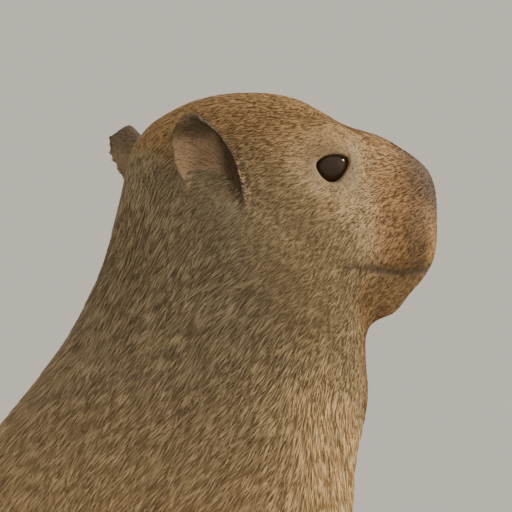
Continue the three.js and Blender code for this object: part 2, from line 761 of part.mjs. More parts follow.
const SIDES = [[1, "left"], [-1, "right"]];
const floorBlock = block([-600, -400, -200], [300, 400, 0]);
const hull = headHull();
addPart("head", headSolid(), fur);
for (const [side, name] of SIDES) {
  addPart("eye_" + name, eyeball(side, EYE_RADIUS), eyeGloss);
  addPart("ear_" + name, ear(side).subtract(hull), darkSkin);
}

// The trunk is what is left of the body once the head, the feet and the legs are parted from it
const wholeBody = surfaceOf(bodyField, BODY_SPACE, BODY_CELL).subtract(floorBlock);
let trunk = wholeBody.subtract(beyond(...HEAD_PLANE));
for (const [side, name] of SIDES) {
  addFeet(side, name);
  addClaws("claw_fore_" + name, foreToes, foreFootField, side);
  addClaws("claw_hind_" + name, hindToes, hindFootField, side);
  trunk = trunk.subtract(foreFootBlock(side, GAP)).subtract(hindFootBlock(side, GAP));
  addPart("foreleg_" + name, trunk.intersect(within(FORELEG_PLANES, side, 0)), fur);
  addPart("hindleg_" + name, trunk.intersect(within(HINDLEG_PLANES, side, 0)), fur);
  trunk = trunk.subtract(within(FORELEG_PLANES, side, GAP)).subtract(within(HINDLEG_PLANES, side, GAP));
}
addPart("neck", trunk.intersect(beyond(...NECK_PLANE, GAP)), fur);
const below = trunk.subtract(beyond(...NECK_PLANE));
addPart("torso", below.intersect(beyond(...RUMP_PLANE, GAP)), fur);
addPart("rump", below.subtract(beyond(...RUMP_PLANE)), fur);

// The origin is on the floor under the middle of the animal's box
const box = new THREE.Box3().setFromObject(model, true);
const middle = box.getCenter(new THREE.Vector3());
model.position.set(-middle.x, -middle.y, -box.min.z);

export default model;
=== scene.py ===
import math

import bmesh
import bpy
import numpy as np
from mathutils import Euler, Matrix, Vector
from mathutils.bvhtree import BVHTree


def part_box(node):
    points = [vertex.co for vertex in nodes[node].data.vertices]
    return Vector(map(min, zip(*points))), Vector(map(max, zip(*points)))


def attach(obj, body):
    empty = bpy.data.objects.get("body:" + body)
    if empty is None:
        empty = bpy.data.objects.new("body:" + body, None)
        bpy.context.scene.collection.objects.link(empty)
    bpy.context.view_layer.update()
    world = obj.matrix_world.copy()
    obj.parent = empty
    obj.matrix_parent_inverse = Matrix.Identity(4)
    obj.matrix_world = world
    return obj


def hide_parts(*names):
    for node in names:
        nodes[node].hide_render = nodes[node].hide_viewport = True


# Sizes in metres. A fade is the two values between which a share goes from 0 to 1.
SEED = 11
SIDES = ((1, "left"), (-1, "right"))

# Skin: the flesh parts are grown to overlap, joined, smoothed and sunk below the coat
SKIN_VOXEL = 0.0013
PART_OVERLAP = 0.0004
EAR_OVERLAP = 0.0009
MOST_CORNER_GROWTH = 1.2
SAME_POINT = 1e-6
BODY_COAT = 0.0030
HEAD_COAT = 0.0012
THIN_COAT = 0.0005
EAR_DEPTH = 0.0006
SMOOTHING = 0.6
SHARP_KEPT = 0.6
EAR_KEPT = 0.7
FIRST_ROUNDS = 4
FACE_ROUNDS = 10
BODY_ROUNDS = 34
UNWRAP_ANGLE = math.radians(66)
UNWRAP_MARGIN = 0.001

# The head's own frame: distances from the nose, the middle and the crown
CROWN = 0.440
HEAD_TURN = math.radians(-7)
HEAD_TIP = math.radians(-9)
HEAD_PIVOT = Vector((-0.118, 0, CROWN - 0.066))
EYE_AT = Vector((-0.063, 0.0318, -0.0385))
EYE_RADIUS = 0.0115
EAR_AT = np.array([-0.118, 0.041, -0.049])
EAR_TURN = math.radians(30)
EAR_HALF_WIDTH = 0.015
EAR_REACH = 0.003
LIP_BACK = [-0.058, -0.050, -0.038, -0.024, -0.012, -0.006]
LIP_HEIGHT = [-0.086, -0.087, -0.089, -0.090, -0.089, -0.087]
LIP_END_FADE = (LIP_BACK[0] - 0.006, LIP_BACK[0] + 0.002)
NOSTRIL_FROM = np.array([-0.001, 0.009, -0.044])
NOSTRIL_TO = np.array([-0.010, 0.018, -0.050])

# How far from their middle the soft places begin to fade, as a part of their size
SPOT_CORE = 0.45
EAR_CORE = 0.4
LIP_CORE = 0.35
NOSTRIL_CORE = 0.5

# How far from the lips' line and the nostrils the skin is smoothed less, and bare
LIP_DETAIL_HALF = 0.010
NOSTRIL_DETAIL_HALF = 0.009
BARE_LIP_HALF = 0.0020
BARE_LIP_SHARE = 0.8
BARE_NOSTRIL_HALF = 0.0055

# The head ends across a slanting plane
HEAD_END_X = -0.108
HEAD_END_Z = -0.088
HEAD_END_FORWARD = 0.79
HEAD_END_UP = 0.61
HEAD_END_FADE = (-0.016, 0.014)

# Feet, legs and the seat of the rump, by height, by distance back and by distance from the middle plane
FOOT_FADE = (0.018, 0.044)
FOOT_WAVER = 0.004
FOOT_WAVER_SCALE = 0.010
FOOT_WAVER_SEED = 9
RUMP_START = 0.02
RUMP_BACK_FADE = (0.02, 0.10)
RUMP_SIDE_FADE = (0.045, 0.062)
LEG_FADE = (0.09, 0.17)
LEG_FRONT_FADE = (-0.02, 0.02)
LOW_BODY_FADE = (0.05, 0.10)
SOLE_FADE = (0.0004, 0.003)

# Markings on the body, by how the surface faces and by height, with painted warm sunlight on the
# forward-facing chest and painted cool shade high on the neck
FORWARD_FADE = (-0.05, 0.6)
CHEST_FADE = (0.10, 0.2)
DOWNWARD_FADE = (0.2, 0.9)
BELLY_FADE = (0.07, 0.12)
# Where and how strongly the painted cool shade of the neck is laid on, by height
NAPE_FADE = (0.17, 0.37)
NAPE_SHADE_SHARE = 0.8
CHEST_SUNLIGHT_SHARE = 0.9
BELLY_SHARE = 0.8
LEG_SHARE = 0.8

# Markings on the head, with painted warm sunlight on the upward-facing crown, painted cool shade on its
# back, and painted shade along the lips' crease
UPWARD_FADE = (0.1, 0.8)
CROWN_FADE = (-0.06, -0.02)
# Where and how strongly the painted cool shade on the back of the head is laid on
HEAD_BACK_FADE = (-0.085, -0.125)
HEAD_BACK_SHADE_SHARE = 0.8
MUZZLE_FADE = (-0.060, -0.025)
MUZZLE_ON_TOP = 0.6
# Painted shade along the crease of the lips: its half width and strength
PAINTED_LIP_SHADE_HALF = 0.007
PAINTED_LIP_SHADE_SHARE = 0.25
LIP_LINE_HALF = 0.0026
LIP_LINE_SHARE = 0.8
NOSTRIL_HALF = 0.0040

# Markings on an ear, by how far it faces inward, from its back edge at -1 to its front at 1, and by height
EAR_CUP_FADE = (-0.1, 0.5)
EAR_FRONT_FADE = (-0.15, 0.25)
EAR_BACK_FADE = (-0.75, -1.0)
EAR_TOP_FADE = (0.022, 0.030)
EAR_TOP_SHARE = 0.85
EAR_BACK_SHARE = 0.5
EAR_BACK_LOST_AT_TOP = 0.7

# Light and dark in the coat: strength, size and seed, and how far the pattern is squeezed along each axis
WIDE_SHADE = (0.07, 0.045, 3)
WIDE_SQUEEZE = np.array([1, 1.6, 1])
STREAK_SHADE = (0.08, 0.012, 4)
STREAK_SQUEEZE = np.array([1.0, 3.0, 0.7])
FINE_SHADE = (0.05, 0.004, 5)
NOISE_TABLE = 4096
NOISE_PRIMES = (73856093, 19349663, 83492791)

# The way the hair lies
SPINE_WAY = np.array([-0.70, 0, -0.72])
FRONT_WAY = np.array([-0.10, 0, -1.0])
LEG_WAY = np.array([0.10, 0, -1.0])
FOOT_WAY = np.array([0.8, 0, -0.25])
LIE_FRONT_FADE = (-0.1, 0.7)
LIE_OUTWARD = 0.12
FACE_OUTWARD = 0.25
FACE_DOWN = -0.15
CHEEK_DOWN = 0.7
CHEEK_FADE = (-0.03, -0.09)
HEAD_SIDE_FADE = (0.0, 0.02)
NOSE_BACK = -0.2
NOSE_DOWN = -0.35
NOSE_FADE = (-0.016, 0.0)
LIE_WAVER = 0.18
LIE_WAVER_SCALE = 0.03
LIE_WAVER_SEEDS = (6, 7, 8)

# Hair: length, width, lift off the skin, and the area of skin in square millimetres for each tuft
BODY_HAIR = np.array([0.0185, 0.00110, 0.0016, 3.5])
HEAD_HAIR = np.array([0.0082, 0.00075, 0.0007, 1.25])
MUZZLE_HAIR = np.array([0.0042, 0.00055, 0.0004, 0.80])
EYE_HAIR = MUZZLE_HAIR * np.array([0.75, 0.85, 0.7, 0.8])
EAR_HAIR = np.array([0.0032, 0.00045, 0.0004, 1.0])
LEG_HAIR = np.array([0.0110, 0.0010, 0.0009, 2.3])
FOOT_HAIR = np.array([0.0050, 0.0008, 0.0004, 1.6])
MUZZLE_HAIR_FADE = (-0.075, -0.035)
SQUARE_MILLIMETRE = 1e-6

# Each tuft: its length, width and lift as factors, its sway, tone and shape, and the pieces they are kept in
LENGTH_RANGE = (0.75, 1.2)
WIDTH_RANGE = (0.8, 1.2)
LIFT_RANGE = (0.4, 1.3)
SWAY = 0.16
TONE_SPREAD = 0.055
ROOT_DEPTH = 0.0004
ROOT_THICKNESS = 0.5
MIDDLE_THICKNESS = 0.4
MIDDLE_WIDTH = 0.85
MIDDLE_LIFT = 0.35
MIDDLE_CLEARANCE = 0.0002
FLOOR_CLEARANCE = 0.0001
LONG_HAIR = 0.0065
PATCH = 0.003
TRIANGLES_PER_PIECE = 190000
NECK_BEHIND = -0.13

# A tuft's corners: three round its root, three round its middle, and the tip; a straight one has no middle
BENT_CORNERS = [0, 1, 2, 3, 4, 5, 6]
BENT_FACES = np.array([
    [0, 1, 2], [0, 3, 4], [0, 4, 1], [1, 4, 5], [1, 5, 2],
    [2, 5, 3], [2, 3, 0], [3, 6, 4], [4, 6, 5], [5, 6, 3],
])
STRAIGHT_CORNERS = [0, 1, 2, 6]
STRAIGHT_FACES = np.array([[0, 1, 2], [0, 3, 1], [1, 3, 2], [2, 3, 0]])
# Painted shade darkening each tuft towards its root, and painted light towards its tip, one factor for each
# corner
TUFT_PAINTED_LIGHT_AND_SHADE = np.array([0.88, 0.88, 0.91, 0.99, 0.99, 1.01, 1.09])
TUFT_SPREAD = np.array([[-1, -1], [1, -1], [0, -0.6], [-0.8, 0.2], [0.8, 0.2], [0, 0.4], [0, 1]])

# The almond slit between the lids, seen from the side: forward and up from the eye's centre
SLIT = [
    (-0.0098, 0.0006),
    (-0.0080, 0.0042),
    (-0.0040, 0.0058),
    (0.0015, 0.0062),
    (0.0062, 0.0052),
    (0.0097, 0.0026),
    (0.0078, -0.0024),
    (0.0048, -0.0062),
    (0.0004, -0.0080),
    (-0.0042, -0.0070),
    (-0.0078, -0.0036),
]
SLIT_STEPS = 6
LID_RADIUS = EYE_RADIUS + 0.0003
LID_THIN = 0.0005
LID_MORE_ABOVE = 0.0007
LID_UPPER_FADE = (0.0, 0.005)
LID_FLATTENED = 1.3
LID_SIDES = 10
EYE_FACING = math.radians(78)
EYE_AROUND = 48
EYE_ROWS = 24

# Whiskers: the first root of the first row, the steps back and down from it, and their own sizes
WHISKER_ROWS = 4
WHISKERS_IN_ROW = 5
WHISKER_FROM = (-0.014, 0.030, -0.064)
WHISKER_STEP_BACK = 0.0075
WHISKER_STEP_DOWN = 0.0070
WHISKER_ROOT_SCATTER = 0.0008
WHISKER_WAY = (-0.75, 0.45, -0.30)
WHISKER_ROW_DROOP = 0.05
WHISKER_OFF_SKIN = 0.55
WHISKER_WAY_SCATTER = 0.07
WHISKER_LENGTH = (0.016, 0.027)
WHISKER_SIDES = 5
WHISKER_JOINTS = 5
WHISKER_SUNK = 0.03
WHISKER_BEND = 0.25
WHISKER_RADIUS = 0.00016
WHISKER_TIP_RADIUS = 0.00002

# Materials: how strongly the grain shows, and the mottling's size beside the grain's
MARKED_GRAIN = 0.6
PLAIN_GRAIN = 0.5
PLAIN_MOTTLE = 0.4
EYE_DARK = (0.020, 0.011, 0.005)
EYE_LIGHT = (0.055, 0.032, 0.014)

# Camera and floor
CAMERA_YAW = math.radians(27)
CAMERA_DOWN = math.radians(7)
CAMERA_DISTANCE = 3.2
CAMERA_LENS = 470
CAMERA_SENSOR = 36
CAMERA_SEES_TO = 100
CAMERA_TARGET = Vector((0.093, 0, 0.361))
FLOOR_HALF = 14
FLOOR_HEIGHT = -0.0002

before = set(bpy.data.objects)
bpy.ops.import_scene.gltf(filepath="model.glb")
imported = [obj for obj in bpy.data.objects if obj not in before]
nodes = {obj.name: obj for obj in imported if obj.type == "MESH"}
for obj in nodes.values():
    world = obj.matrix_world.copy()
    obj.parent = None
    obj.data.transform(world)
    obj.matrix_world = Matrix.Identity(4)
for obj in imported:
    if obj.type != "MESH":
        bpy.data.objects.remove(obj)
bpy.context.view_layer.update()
rng = np.random.default_rng(SEED)


# Colours, given from 0 to 255


def srgb(r, g, b):
    """A colour as the linear values that materials take."""
    c = np.array([r, g, b]) / 255
    return np.where(c <= 0.04045, c / 12.92, ((c + 0.055) / 1.055) ** 2.4)


# The crown's redder fur, with painted warm sunlight where the top of the head faces up
CROWN_FUR_AND_SUNLIGHT = srgb(160, 126, 84)
CHEEK_BROWN = srgb(166, 141, 103)
MUZZLE_TAN = srgb(166, 126, 80)
# Painted cool shade: a greyer colour high on the neck and on the back of the head
NAPE_PAINTED_SHADE = srgb(138, 124, 97)
BODY_BROWN = srgb(194, 159, 112)
# Painted warm sunlight on the chest and throat, where they face forward
CHEST_PAINTED_SUNLIGHT = srgb(220, 188, 136)
BELLY_TAN = srgb(176, 148, 108)
LEG_BROWN = srgb(116, 94, 66)
FOOT_DARK = srgb(66, 54, 43)
# Dark bare skin of the nose and lips, also laid on as painted shade down the muzzle's front and along the
# lips' crease
DARK_SKIN_AND_SHADE = srgb(74, 56, 39)
EAR_OUTER = srgb(70, 55, 38)
# Dark rim of the ear and line of the lips, also laid on as painted shade round the eye
DARK_RIM_AND_SHADE = srgb(80, 64, 45)
EAR_INNER = srgb(150, 122, 92)
EAR_EDGE = srgb(178, 150, 112)
# Pale fur above and below the eye, also laid on as painted light on the sides of the chin
PALE_FUR_AND_PAINTED_LIGHT = srgb(168, 136, 92)
NOSTRIL_BLACK = srgb(22, 16, 13)
LID_BROWN = srgb(64, 48, 34)
WHISKER_BROWN = srgb(58, 46, 36)
CLAW_BROWN = srgb(52, 42, 34)
FLOOR_GREY = srgb(186, 184, 178)

# Soft marks on the face, painted light and shade among them, in the order they are laid on: colour,
# strength, centre and radii
FACE_MARKS_LIGHT_AND_SHADE = {
    # Painted light on the lower muzzle, which lies in shade
    "painted light on the sides of the chin": (PALE_FUR_AND_PAINTED_LIGHT, 0.9, (-0.036, 0.026, -0.102), (0.030, 0.030, 0.018)),
    "above the eye": (PALE_FUR_AND_PAINTED_LIGHT, 0.6, (-0.064, 0.036, -0.022), (0.020, 0.020, 0.010)),
    "below the eye": (PALE_FUR_AND_PAINTED_LIGHT, 0.5, (-0.066, 0.040, -0.056), (0.020, 0.020, 0.010)),
    # Darker skin round the eye, with painted shade about it
    "dark skin and painted shade round the eye": (DARK_RIM_AND_SHADE, 0.4, (EYE_AT.x, 0.040, EYE_AT.z), (0.018, 0.022, 0.014)),
    "nose": (DARK_SKIN_AND_SHADE, 0.9, (0.0, 0.0, -0.046), (0.040, 0.056, 0.034)),
    # Painted shade in a streak down the muzzle's front edge, where it turns away
    "painted shade down the muzzle's front edge": (DARK_SKIN_AND_SHADE, 0.5, (-0.018, 0.032, -0.076), (0.010, 0.014, 0.024)),
    "middle of the lip": (DARK_SKIN_AND_SHADE, 0.8, (0.0, 0.0, -0.074), (0.014, 0.007, 0.022)),
}

# Soft places on the head: centre and radii
EYE_PLACE = ((EYE_AT.x, EYE_AT.y + 0.006, EYE_AT.z), (0.021, 0.018, 0.019))
SHORT_HAIR_AT_EYE = ((EYE_AT.x, EYE_AT.y + 0.006, EYE_AT.z), (0.030, 0.026, 0.028))
BARE_AT_EYE = ((EYE_AT.x, EYE_AT.y + 0.008, EYE_AT.z), (0.0135, 0.016, 0.0115))
BARE_AT_NOSE = ((0.001, 0.0, -0.050), (0.014, 0.018, 0.014))


# The head's frame, and the helpers that regions and markings use


def node_middle(name):
    low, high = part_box(name)
    return (Vector(low) + Vector(high)) / 2


def head_to_body():
    """The matrix from the head's frame to the body's, set so that the left eye is where its solid is."""
    turn = Euler((0, 0, HEAD_TURN)).to_matrix().to_4x4()
    tip = Euler((HEAD_TIP, 0, 0)).to_matrix().to_4x4()
    lift = Matrix.Translation((-HEAD_PIVOT.x, 0, CROWN - HEAD_PIVOT.z))
    place = Matrix.Translation(HEAD_PIVOT) @ turn @ tip @ lift
    return Matrix.Translation(node_middle("eye_left") - place @ EYE_AT) @ place


HEAD = head_to_body()
HEAD_INVERSE = np.array(HEAD.inverted())


def at_eye(side):
    return HEAD @ Matrix.Translation((EYE_AT.x, side * EYE_AT.y, EYE_AT.z))


def in_head(p):
    return p @ HEAD_INVERSE[:3, :3].T + HEAD_INVERSE[:3, 3]


def node_surface(name):
    mesh = nodes[name].data
    points = [v.co.copy() for v in mesh.vertices]
    return BVHTree.FromPolygons(points, [tuple(f.vertices) for f in mesh.polygons])


EAR_SURFACES = {name: node_surface(name) for name in ("ear_left", "ear_right")}


def unit(v):
    return v / np.maximum(np.linalg.norm(v, axis=-1, keepdims=True), 1e-9)


def smooth(low, high, x):
    t = np.clip((x - low) / (high - low), 0, 1)
    return t * t * (3 - 2 * t)


def mix(values, target, share):
    """Each row of values, moved towards the target by its share."""
    return values + (target - values) * np.clip(share, 0, 1)[:, None]


def spot(p, centre, radii):
    """1 in the middle of an ellipsoid, fading to 0 at its edge."""
    d = np.linalg.norm((p - np.array(centre)) / np.array(radii), axis=1)
    return 1 - smooth(SPOT_CORE, 1.0, d)


def noise(p, scale, seed):
    """Random values from -1 to 1 that change smoothly over a distance of scale."""
    table = np.random.default_rng(seed).uniform(-1, 1, NOISE_TABLE)
    q = p / scale
    cell = np.floor(q).astype(np.int64)
    f = q - cell
    f = f * f * (3 - 2 * f)
    total = np.zeros(len(p))
    for dx in (0, 1):
        for dy in (0, 1):
            for dz in (0, 1):
                corner = (cell + np.array([dx, dy, dz])) * np.array(NOISE_PRIMES)
                key = corner[:, 0] ^ corner[:, 1] ^ corner[:, 2]
                near = np.abs(1 - np.array([dx, dy, dz]) - f)
                total += near[:, 0] * near[:, 1] * near[:, 2] * table[key & (NOISE_TABLE - 1)]
    return total


# Regions of the animal, each a share from 0 to 1 at points p


def regions(p):
    """Shares of head, ears, feet and legs; h is the points in the head's frame, and hs all on its left."""
    h = in_head(p)
    hs = np.stack([h[:, 0], np.abs(h[:, 1]), h[:, 2]], axis=1)
    along = (h[:, 0] - HEAD_END_X) * HEAD_END_FORWARD + (h[:, 2] - HEAD_END_Z) * HEAD_END_UP
    head = smooth(*HEAD_END_FADE, along)
    edge = FOOT_WAVER * noise(p, FOOT_WAVER_SCALE, FOOT_WAVER_SEED)
    foot = 1 - smooth(*FOOT_FADE, p[:, 2] + edge)
    middle = 1 - smooth(*RUMP_SIDE_FADE, np.abs(p[:, 1]))
    rump = smooth(*RUMP_BACK_FADE, -p[:, 0] - RUMP_START) * middle
    foot = foot * (1 - rump)
    leg = (1 - smooth(*LEG_FADE, p[:, 2])) * smooth(*LEG_FRONT_FADE, p[:, 0])
    return {"h": h, "hs": hs, "head": head, "ear": ear_share(p), "foot": foot, "leg": leg}


def ear_share(p):
    """1 on the ears, fading to 0 a little way off them."""
    share = np.zeros(len(p))
    for name, surface in EAR_SURFACES.items():
        low, high = (np.array(corner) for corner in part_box(name))
        close = np.all((p > low - EAR_REACH) & (p < high + EAR_REACH), axis=1)
        for i in np.nonzero(close)[0]:
            distance = surface.find_nearest(p[i], EAR_REACH)[3]
            if distance is not None:
                share[i] = 1 - smooth(EAR_CORE * EAR_REACH, EAR_REACH, distance)
    return share


def lip_share(hs, half):
    """1 along the line of the lips, fading to 0 at a distance of half above and below it."""
    line = np.interp(hs[:, 0], LIP_BACK, LIP_HEIGHT)
    near = 1 - smooth(LIP_CORE * half, half, np.abs(hs[:, 2] - line))
    return near * smooth(*LIP_END_FADE, hs[:, 0])


def nostril_share(hs, half):
    """1 along the slit of each nostril, fading to 0 at a distance of half."""
    along = NOSTRIL_TO - NOSTRIL_FROM
    t = np.clip((hs - NOSTRIL_FROM) @ along / (along @ along), 0, 1)
    distance = np.linalg.norm(hs - NOSTRIL_FROM - t[:, None] * along, axis=1)
    return 1 - smooth(NOSTRIL_CORE * half, half, distance)


def eye_share(hs):
    return spot(hs, *EYE_PLACE)


def bare_share(p):
    """1 where no hair grows: the nose pad, the nostrils, the lips' line, the eyes and the soles."""
    r = regions(p)
    hs = r["hs"]
    nose = spot(hs, *BARE_AT_NOSE)
    eye = smooth(0.0, 1.0, spot(hs, *BARE_AT_EYE))
    lips = BARE_LIP_SHARE * lip_share(hs, BARE_LIP_HALF)
    creases = (lips + nostril_share(hs, BARE_NOSTRIL_HALF)) * r["head"]
    sole = 1 - smooth(*SOLE_FADE, p[:, 2])
    return np.clip(nose + eye + creases + sole, 0, 1)


# Markings, painted sunlight and shade, and hair at points p with normals n


def ear_colour(h, n):
    """Dark along the thick front rim, brown in the cup, darker outside, pale at the back edge."""
    outward = np.sign(h[:, 1])
    local = n @ HEAD_INVERSE[:3, :3].T
    forward = (h[:, 0] - EAR_AT[0]) * math.cos(EAR_TURN)
    across = (forward + (np.abs(h[:, 1]) - EAR_AT[1]) * math.sin(EAR_TURN)) / EAR_HALF_WIDTH
    inward = -local[:, 0] * math.sin(EAR_TURN) + local[:, 1] * outward * math.cos(EAR_TURN)
    colour = mix(np.tile(EAR_OUTER, (len(h), 1)), EAR_INNER, smooth(*EAR_CUP_FADE, inward))
    top = smooth(*EAR_TOP_FADE, h[:, 2] - EAR_AT[2])
    front = np.maximum(smooth(*EAR_FRONT_FADE, across), EAR_TOP_SHARE * top)
    colour = mix(colour, DARK_RIM_AND_SHADE, front)
    back = smooth(*EAR_BACK_FADE, across) * EAR_BACK_SHARE * (1 - EAR_BACK_LOST_AT_TOP * top)
    return mix(colour, EAR_EDGE, back)


def body_colour(p, n, r):
    # front: painted warm sunlight where the chest and throat face forward
    front = smooth(*FORWARD_FADE, n[:, 0]) * smooth(*CHEST_FADE, p[:, 2])
    under = smooth(*DOWNWARD_FADE, -n[:, 2]) * smooth(*BELLY_FADE, p[:, 2])
    high = smooth(*NAPE_FADE, p[:, 2])
    body = np.tile(BODY_BROWN, (len(p), 1))
    # Painted cool shade high on the neck, away from the forward-facing chest
    body = mix(body, NAPE_PAINTED_SHADE, high * (1 - front) * NAPE_SHADE_SHARE)
    body = mix(body, CHEST_PAINTED_SUNLIGHT, front * CHEST_SUNLIGHT_SHARE)
    body = mix(body, BELLY_TAN, under * BELLY_SHARE)
    body = mix(body, LEG_BROWN, r["leg"] * LEG_SHARE)
    return mix(body, FOOT_DARK, r["foot"])


def face_colour(hs, n):
    # top: where the crown faces up, partly its own redder fur and partly painted warm sunlight
    top = smooth(*UPWARD_FADE, n[:, 2]) * smooth(*CROWN_FADE, hs[:, 2])
    face = np.tile(CHEEK_BROWN, (len(hs), 1))
    face = mix(face, CROWN_FUR_AND_SUNLIGHT, top)
    # Painted cool shade on the back of the head
    face = mix(face, NAPE_PAINTED_SHADE, smooth(*HEAD_BACK_FADE, hs[:, 0]) * (1 - top) * HEAD_BACK_SHADE_SHARE)
    face = mix(face, MUZZLE_TAN, smooth(*MUZZLE_FADE, hs[:, 0]) * (1 - top * MUZZLE_ON_TOP))
    # The face's own marks, with the painted light and shade among them
    for colour, strength, centre, radii in FACE_MARKS_LIGHT_AND_SHADE.values():
        face = mix(face, colour, spot(hs, centre, radii) * strength)
    # Painted shade along the crease of the lips
    face = mix(face, DARK_SKIN_AND_SHADE, lip_share(hs, PAINTED_LIP_SHADE_HALF) * PAINTED_LIP_SHADE_SHARE)
    face = mix(face, DARK_RIM_AND_SHADE, lip_share(hs, LIP_LINE_HALF) * LIP_LINE_SHARE)
    return mix(face, NOSTRIL_BLACK, nostril_share(hs, NOSTRIL_HALF))


def shading(p, strength, size, seed):
    return strength * noise(p, size, seed)


def coat_colour(p, n):
    """The animal's markings, with painted sunlight and shade among them, which skin and coat share."""
    r = regions(p)
    head = r["head"][:, None]
    ear = r["ear"][:, None]
    colour = body_colour(p, n, r) * (1 - head) + face_colour(r["hs"], n) * head
    colour = colour * (1 - ear) + ear_colour(r["h"], n) * ear
    wide = shading(p * WIDE_SQUEEZE, *WIDE_SHADE)
    streak = shading(p * STREAK_SQUEEZE, *STREAK_SHADE)
    shade = 1 + wide + streak + shading(p, *FINE_SHADE)
    return np.clip(colour * shade[:, None], 0, 1)


def face_lie(h, hs):
    """The way the hair of the head lies: back from the nose, down the cheeks, and outward on the nose."""
    sign = np.sign(h[:, 1])
    ones = np.ones(len(h))
    cheek = smooth(*CHEEK_FADE, hs[:, 2])
    aside = FACE_OUTWARD * sign * smooth(*HEAD_SIDE_FADE, hs[:, 1])
    local = np.stack([-ones, aside, FACE_DOWN - CHEEK_DOWN * cheek], axis=1)
    nose = smooth(*NOSE_FADE, hs[:, 0])[:, None]
    outward = np.stack([NOSE_BACK * ones, sign, NOSE_DOWN * ones], axis=1)
    local = local * (1 - nose) + outward * nose
    return local @ np.array(HEAD)[:3, :3].T


def lie(p, n):
    """The way the hair lies, as a unit vector along the surface."""
    r = regions(p)
    leg = r["leg"][:, None]
    foot = r["foot"][:, None]
    head = r["head"][:, None]
    side = np.sign(p[:, 1])[:, None] * np.array([0, 1.0, 0])
    front = smooth(*LIE_FRONT_FADE, n[:, 0])[:, None]
    body = SPINE_WAY * (1 - front) + FRONT_WAY * front + LIE_OUTWARD * side
    body = body * (1 - leg) + LEG_WAY * leg
    body = body * (1 - foot) + FOOT_WAY * foot
    way = unit(body) * (1 - head) + unit(face_lie(r["h"], r["hs"])) * head
    waver = np.stack([noise(p, LIE_WAVER_SCALE, seed) for seed in LIE_WAVER_SEEDS], axis=1)
    way = way + LIE_WAVER * waver
    return unit(way - n * np.sum(way * n, axis=1, keepdims=True))


def hair_size(p):
    """Length, width and lift of the hair, and the area of skin in square millimetres for each tuft."""
    r = regions(p)
    size = np.tile(BODY_HAIR, (len(p), 1))
    size = mix(size, LEG_HAIR, np.maximum(r["leg"], 1 - smooth(*LOW_BODY_FADE, p[:, 2])))
    size = mix(size, FOOT_HAIR, r["foot"])
    size = mix(size, HEAD_HAIR, r["head"])
    size = mix(size, MUZZLE_HAIR, smooth(*MUZZLE_HAIR_FADE, r["hs"][:, 0]) * r["head"])
    size = mix(size, EYE_HAIR, spot(r["hs"], *SHORT_HAIR_AT_EYE))
    return mix(size, EAR_HAIR, r["ear"])


# Materials


def material(name, roughness, specular):
    m = bpy.data.materials.new(name)
    m.use_nodes = True
    shader = m.node_tree.nodes["Principled BSDF"]
    shader.inputs["Roughness"].default_value = roughness
    shader.inputs["Specular IOR Level"].default_value = specular
    return m, shader


def add_noise(m, scale, detail=3, low=0.0, high=1.0):
    tree = m.node_tree
    texture = tree.nodes.new("ShaderNodeTexNoise")
    texture.inputs["Scale"].default_value = scale
    texture.inputs["Detail"].default_value = detail
    place = tree.nodes.new("ShaderNodeTexCoord")
    tree.links.new(place.outputs["Object"], texture.inputs["Vector"])
    spread = tree.nodes.new("ShaderNodeMapRange")
    spread.inputs["To Min"].default_value = low
    spread.inputs["To Max"].default_value = high
    tree.links.new(texture.outputs["Fac"], spread.inputs["Value"])
    return spread.outputs["Result"]


def add_bump(m, shader, height, strength, distance):
    bump = m.node_tree.nodes.new("ShaderNodeBump")
    bump.inputs["Strength"].default_value = strength
    bump.inputs["Distance"].default_value = distance
    m.node_tree.links.new(height, bump.inputs["Height"])
    m.node_tree.links.new(bump.outputs["Normal"], shader.inputs["Normal"])


def add_ramp(m, shader, value, dark, light):
    """Colours the shader from dark to light by a value."""
    ramp = m.node_tree.nodes.new("ShaderNodeValToRGB")
    ramp.color_ramp.elements[0].color = (*dark, 1)
    ramp.color_ramp.elements[1].color = (*light, 1)
    m.node_tree.links.new(value, ramp.inputs["Fac"])
    m.node_tree.links.new(ramp.outputs["Color"], shader.inputs["Base Color"])


def marked_material(name, roughness, specular, bump_scale, bump_depth):
    """Takes its colour from the markings, with their painted sunlight and shade, stored on the mesh, with
    fine mottling and grain.
    """
    m, shader = material(name, roughness, specular)
    tree = m.node_tree
    marks = tree.nodes.new("ShaderNodeAttribute")
    marks.attribute_name = "markings"
    mottle = add_noise(m, scale=900, detail=2, low=0.82, high=1.14)
    tint = tree.nodes.new("ShaderNodeVectorMath")
    tint.operation = "SCALE"
    tree.links.new(marks.outputs["Color"], tint.inputs[0])
    tree.links.new(mottle, tint.inputs["Scale"])
    tree.links.new(tint.outputs["Vector"], shader.inputs["Base Color"])
    add_bump(m, shader, add_noise(m, bump_scale), MARKED_GRAIN, bump_depth)
    return m


def plain_material(name, colour, roughness, specular, bump_scale, bump_depth, spread=(0.65, 1.3)):
    """One colour, mottled darker and lighter by the two factors of spread, with grain."""
    m, shader = material(name, roughness, specular)
    shade = add_noise(m, bump_scale * PLAIN_MOTTLE)
    add_ramp(m, shader, shade, colour * spread[0], colour * spread[1])
    add_bump(m, shader, add_noise(m, bump_scale), PLAIN_GRAIN, bump_depth)
    return m


def eye_material(name):
    m, shader = material("eye_" + name, roughness=0.12, specular=0.3)
    add_ramp(m, shader, add_noise(m, scale=500), EYE_DARK, EYE_LIGHT)
    return m


# Skin


def new_object(name, vertices, faces, smooth_shade=True):
    mesh = bpy.data.meshes.new(name)
    mesh.from_pydata([tuple(v) for v in vertices], [], [tuple(f) for f in faces])
    mesh.update()
    if smooth_shade:
        mesh.shade_smooth()
    return link_object(name, mesh)


def link_object(name, data):
    o = bpy.data.objects.new(name, data)
    bpy.context.scene.collection.objects.link(o)
    return o


def positions(mesh):
    p = np.empty(len(mesh.vertices) * 3)
    mesh.vertices.foreach_get("co", p)
    return p.reshape(-1, 3)


